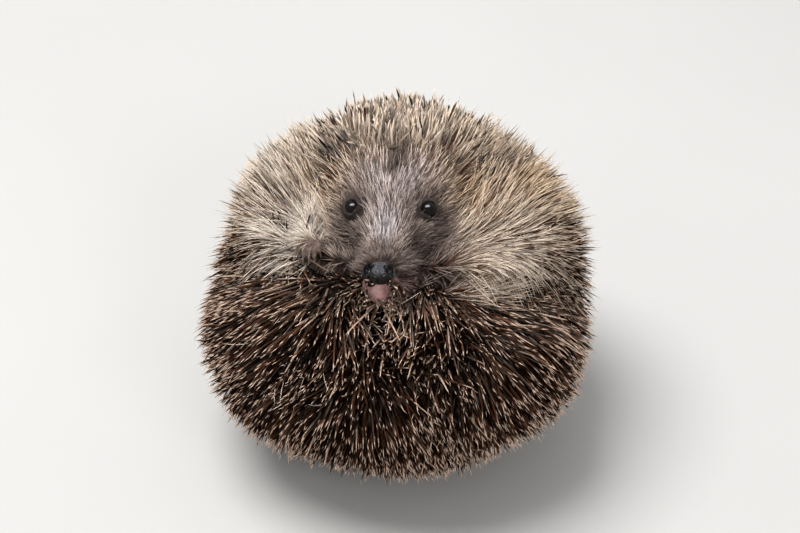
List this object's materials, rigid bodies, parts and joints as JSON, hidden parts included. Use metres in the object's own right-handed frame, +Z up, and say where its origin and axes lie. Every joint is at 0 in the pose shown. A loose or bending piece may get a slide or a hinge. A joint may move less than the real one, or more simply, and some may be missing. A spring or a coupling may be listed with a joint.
{
  "type": "hedgehog",
  "caption": "European hedgehog, life size, curled up on its back with its face, a forefoot and the crease of the curl in view.",
  "frame": {"origin": "on the floor, under the centre of the curl", "axes": "+X to the hedgehog's left, -Y the way its face looks out, +Z up"},
  "size_m": [0.1498, 0.1456, 0.1227],
  "materials": {
    "spines": "satin, cream with a dark brown band",
    "ruff": "long pale coarse hair",
    "face": "short grey-brown fur",
    "belly": "soft grey-buff fur",
    "foot": "bare grey-pink skin",
    "ear": "thin blue-grey skin",
    "lip": "moist pink skin",
    "nose": "wet black",
    "eye": "glossy black"
  },
  "bodies": {
    "root": {"head": "face", "nose": "nose", "lower_jaw": "lip", "eye_left": "eye", "eye_right": "eye", "ear_left": "ear", "ear_right": "ear", "neck": "ruff", "shoulder_left": "ruff", "shoulder_right": "ruff", "upper_back": "spines", "lower_back": "spines", "rump": "spines", "belly": "belly", "tail": "foot", "foreleg_left": "foot", "foreleg_right": "foot", "hindleg_left": "foot", "hindleg_right": "foot"}
  },
  "joints": []
}
